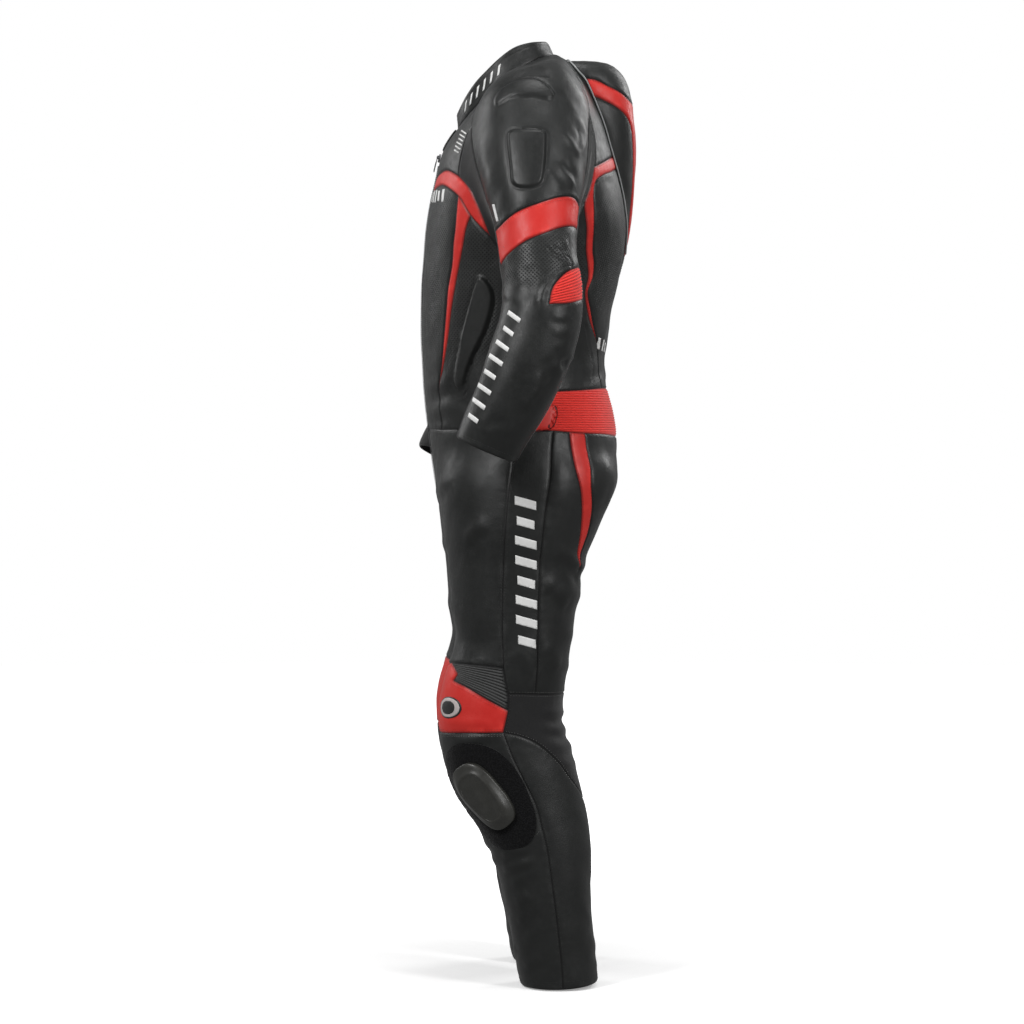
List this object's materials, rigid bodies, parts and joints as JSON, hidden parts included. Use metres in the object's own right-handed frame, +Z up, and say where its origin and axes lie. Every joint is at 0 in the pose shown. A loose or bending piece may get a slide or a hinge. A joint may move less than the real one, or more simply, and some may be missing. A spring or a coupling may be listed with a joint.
{
  "type": "motorcycle race suit",
  "caption": "One-piece leather race suit in worn shape: stand-up collar, back hump, raglan sleeves, ribbed waist, knee sliders on hook-and-loop grounds.",
  "frame": {"origin": "middle of the wearer's shoulder line, at the base of the neck, on the suit's centre plane", "axes": "+Z up along the standing wearer, -Y to the wearer's front, +X to the wearer's left"},
  "size_m": [0.672, 0.3268, 1.4108],
  "materials": {
    "red_leather": "semi-matt finished cowhide, fine grain",
    "black_leather": "semi-matt finished cowhide, fine grain",
    "black_stretch": "matt ribbed stretch fabric",
    "red_stretch": "ribbed stretch leather over elastic",
    "zip_tape": "matt woven tape with a moulded chain",
    "hook_and_loop": "fuzzy loop pile",
    "slider_plastic": "satin moulded plastic",
    "zip_metal": "dark plated metal"
  },
  "bodies": {
    "suit": {"armhole_gusset_left": "black_stretch", "armhole_gusset_right": "black_stretch", "back_band_left": "red_leather", "back_band_right": "red_leather", "back_centre": "black_leather", "back_yoke_left": "black_leather", "back_yoke_right": "black_leather", "calf_left": "black_leather", "calf_right": "black_leather", "chest_band_left": "red_leather", "chest_band_right": "red_leather", "chest_centre_left": "black_leather", "chest_centre_right": "black_leather", "chest_stripe_left": "red_leather", "chest_stripe_right": "red_leather", "chest_upper_left": "black_leather", "chest_upper_right": "black_leather", "collar": "black_leather", "collar_tab": "black_leather", "elbow_pleats_left": "red_stretch", "elbow_pleats_right": "red_stretch", "flank_left": "black_leather", "flank_right": "black_leather", "front_zip": "zip_tape", "hip_stripe_left": "red_leather", "hip_stripe_right": "red_leather", "hump_crown": "black_leather", "hump_side_left": "black_leather", "hump_side_right": "black_leather", "hump_stripe": "red_leather", "knee_back_left": "black_stretch", "knee_back_right": "black_stretch", "knee_ground_left": "hook_and_loop", "knee_ground_right": "hook_and_loop", "knee_panel_left": "red_leather", "knee_panel_right": "red_leather", "knee_pleats_left": "black_stretch", "knee_pleats_right": "black_stretch", "knee_slider_left": "slider_plastic", "knee_slider_right": "slider_plastic", "seat_left": "black_leather", "seat_right": "black_leather", "shin_left": "black_leather", "shin_right": "black_leather", "shoulder_left": "black_leather", "shoulder_right": "black_leather", "sleeve_band_left": "red_leather", "sleeve_band_right": "red_leather", "sleeve_outer_left": "black_leather", "sleeve_outer_right": "black_leather", "sleeve_under_left": "black_stretch", "sleeve_under_right": "black_stretch", "thigh_front_left": "black_leather", "thigh_front_right": "black_leather", "thigh_side_left": "black_leather", "thigh_side_right": "black_leather", "waist_back": "red_stretch", "zip_slider": "zip_metal"},
    "zip_pull": {"zip_pull": "zip_metal"}
  },
  "joints": [
    {"name": "zip_pull_hinge", "type": "hinge", "parent": "suit", "child": "zip_pull", "pos_m": [0, -0.1333, -0.10629], "axis": [-1, 0, 0], "range_deg": [0, 150]}
  ]
}
